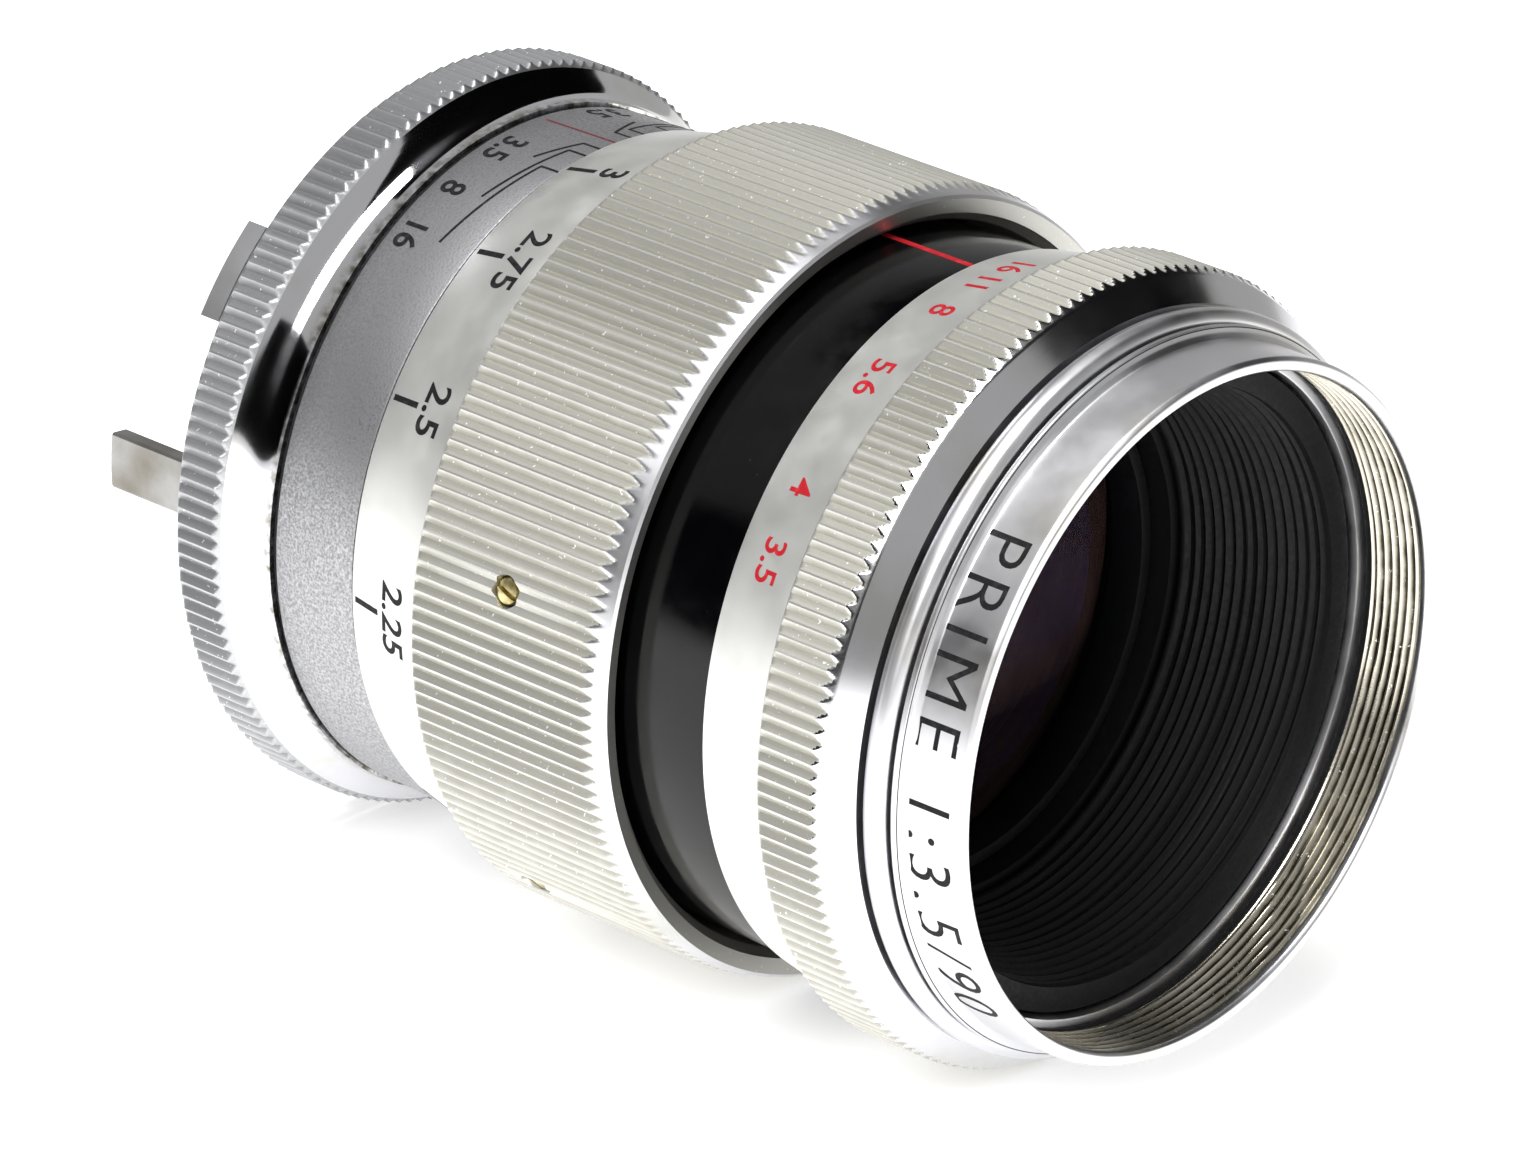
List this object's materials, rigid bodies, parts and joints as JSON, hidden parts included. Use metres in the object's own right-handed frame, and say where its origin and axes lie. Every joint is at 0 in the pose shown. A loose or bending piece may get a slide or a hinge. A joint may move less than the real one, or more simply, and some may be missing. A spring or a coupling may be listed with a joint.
{
  "type": "prime camera lens",
  "caption": "Coupled short telephoto prime lens for a rangefinder camera: knurled rings, black barrel, scales, filter rim, working iris and rear bayonet.",
  "frame": {"origin": "centre of the rear seating face, on the optical axis", "axes": "the optical axis is Y with the front glass towards -Y; +Z is through the index line; +X is the right-hand side seen from the front"},
  "size_m": [0.0422, 0.0601, 0.0422],
  "materials": {
    "satin_aluminium": "bright satin turned",
    "polished_aluminium": "polished",
    "knurled_aluminium": "fine straight knurl, handled",
    "blasted_aluminium": "bead-blasted satin",
    "black_enamel": "gloss black enamel",
    "matt_black": "matt black lacquer",
    "brass": "turned, slightly tarnished",
    "steel": "fine brushed",
    "coated_glass": "polished, purple-blue coating"
  },
  "bodies": {
    "mount": {"mount_base": "satin_aluminium", "dof_scale_ring": "blasted_aluminium", "focus_retaining_ring": "brass", "guide_key": "steel"},
    "lock_ring": {"lock_ring": "knurled_aluminium", "lock_stop_screw": "steel", "bayonet_ring": "satin_aluminium"},
    "focus_ring": {"distance_scale_ring": "satin_aluminium", "focus_grip": "knurled_aluminium", "helicoid_nut": "brass", "grub_screw_1": "brass", "grub_screw_2": "brass", "grub_screw_3": "brass"},
    "barrel": {"inner_helicoid": "brass", "coupling_tongue": "steel", "barrel_tube": "black_enamel", "front_ring": "polished_aluminium", "name_ring": "polished_aluminium", "grooved_baffle": "matt_black", "optic_tube": "matt_black", "front_element": "coated_glass", "front_retaining_ring": "matt_black", "middle_cell": "matt_black", "middle_element": "coated_glass", "rear_cell": "matt_black", "rear_element": "coated_glass", "rear_retaining_ring": "matt_black", "iris_pin_plate": "brass"},
    "aperture_ring": {"aperture_ring": "knurled_aluminium", "aperture_drive_sleeve": "brass", "aperture_drive_pin": "steel", "iris_drive_ring": "brass"},
    "iris_blade_01": {"iris_blade_01": "steel"},
    "iris_blade_02": {"iris_blade_02": "steel"},
    "iris_blade_03": {"iris_blade_03": "steel"},
    "iris_blade_04": {"iris_blade_04": "steel"},
    "iris_blade_05": {"iris_blade_05": "steel"},
    "iris_blade_06": {"iris_blade_06": "steel"},
    "iris_blade_07": {"iris_blade_07": "steel"},
    "iris_blade_08": {"iris_blade_08": "steel"},
    "iris_blade_09": {"iris_blade_09": "steel"},
    "iris_blade_10": {"iris_blade_10": "steel"}
  },
  "joints": [
    {"name": "focus_turn", "type": "hinge", "parent": "mount", "child": "focus_ring", "pos_m": [0, -0.024, 0], "axis": [0, -1, 0], "range_deg": [-135.3, 208.4]},
    {"name": "barrel_slide", "type": "slide", "parent": "mount", "child": "barrel", "axis": [0, -1, 0], "range_m": [-0.00271, 0.00176]},
    {"name": "aperture_turn", "type": "hinge", "parent": "barrel", "child": "aperture_ring", "pos_m": [0, -0.041, 0], "axis": [0, -1, 0], "range_deg": [-62.9, 0]},
    {"name": "lock_turn", "type": "hinge", "parent": "mount", "child": "lock_ring", "pos_m": [0, -0.0015, 0], "axis": [0, -1, 0], "range_deg": [-45, 0]},
    {"name": "iris_blade_01_swing", "type": "hinge", "parent": "barrel", "child": "iris_blade_01", "pos_m": [0, -0.027, 0.0131], "axis": [0, -1, 0], "range_deg": [-31.9, 0]},
    {"name": "iris_blade_02_swing", "type": "hinge", "parent": "barrel", "child": "iris_blade_02", "pos_m": [-0.0077, -0.027, 0.0106], "axis": [0, -1, 0], "range_deg": [-31.9, 0]},
    {"name": "iris_blade_03_swing", "type": "hinge", "parent": "barrel", "child": "iris_blade_03", "pos_m": [-0.01246, -0.027, 0.00405], "axis": [0, -1, 0], "range_deg": [-31.9, 0]},
    {"name": "iris_blade_04_swing", "type": "hinge", "parent": "barrel", "child": "iris_blade_04", "pos_m": [-0.01246, -0.027, -0.00405], "axis": [0, -1, 0], "range_deg": [-31.9, 0]},
    {"name": "iris_blade_05_swing", "type": "hinge", "parent": "barrel", "child": "iris_blade_05", "pos_m": [-0.0077, -0.027, -0.0106], "axis": [0, -1, 0], "range_deg": [-31.9, 0]},
    {"name": "iris_blade_06_swing", "type": "hinge", "parent": "barrel", "child": "iris_blade_06", "pos_m": [0, -0.027, -0.0131], "axis": [0, -1, 0], "range_deg": [-31.9, 0]},
    {"name": "iris_blade_07_swing", "type": "hinge", "parent": "barrel", "child": "iris_blade_07", "pos_m": [0.0077, -0.027, -0.0106], "axis": [0, -1, 0], "range_deg": [-31.9, 0]},
    {"name": "iris_blade_08_swing", "type": "hinge", "parent": "barrel", "child": "iris_blade_08", "pos_m": [0.01246, -0.027, -0.00405], "axis": [0, -1, 0], "range_deg": [-31.9, 0]},
    {"name": "iris_blade_09_swing", "type": "hinge", "parent": "barrel", "child": "iris_blade_09", "pos_m": [0.01246, -0.027, 0.00405], "axis": [0, -1, 0], "range_deg": [-31.9, 0]},
    {"name": "iris_blade_10_swing", "type": "hinge", "parent": "barrel", "child": "iris_blade_10", "pos_m": [0.0077, -0.027, 0.0106], "axis": [0, -1, 0], "range_deg": [-31.9, 0]}
  ],
  "couplings": [
    {"joint": "focus_turn", "follows": "barrel_slide", "rad_per_m": -1340.5},
    {"joint": "iris_blade_01_swing", "follows": "aperture_turn", "ratio": 0.50627},
    {"joint": "iris_blade_02_swing", "follows": "aperture_turn", "ratio": 0.50627},
    {"joint": "iris_blade_03_swing", "follows": "aperture_turn", "ratio": 0.50627},
    {"joint": "iris_blade_04_swing", "follows": "aperture_turn", "ratio": 0.50627},
    {"joint": "iris_blade_05_swing", "follows": "aperture_turn", "ratio": 0.50627},
    {"joint": "iris_blade_06_swing", "follows": "aperture_turn", "ratio": 0.50627},
    {"joint": "iris_blade_07_swing", "follows": "aperture_turn", "ratio": 0.50627},
    {"joint": "iris_blade_08_swing", "follows": "aperture_turn", "ratio": 0.50627},
    {"joint": "iris_blade_09_swing", "follows": "aperture_turn", "ratio": 0.50627},
    {"joint": "iris_blade_10_swing", "follows": "aperture_turn", "ratio": 0.50627}
  ]
}
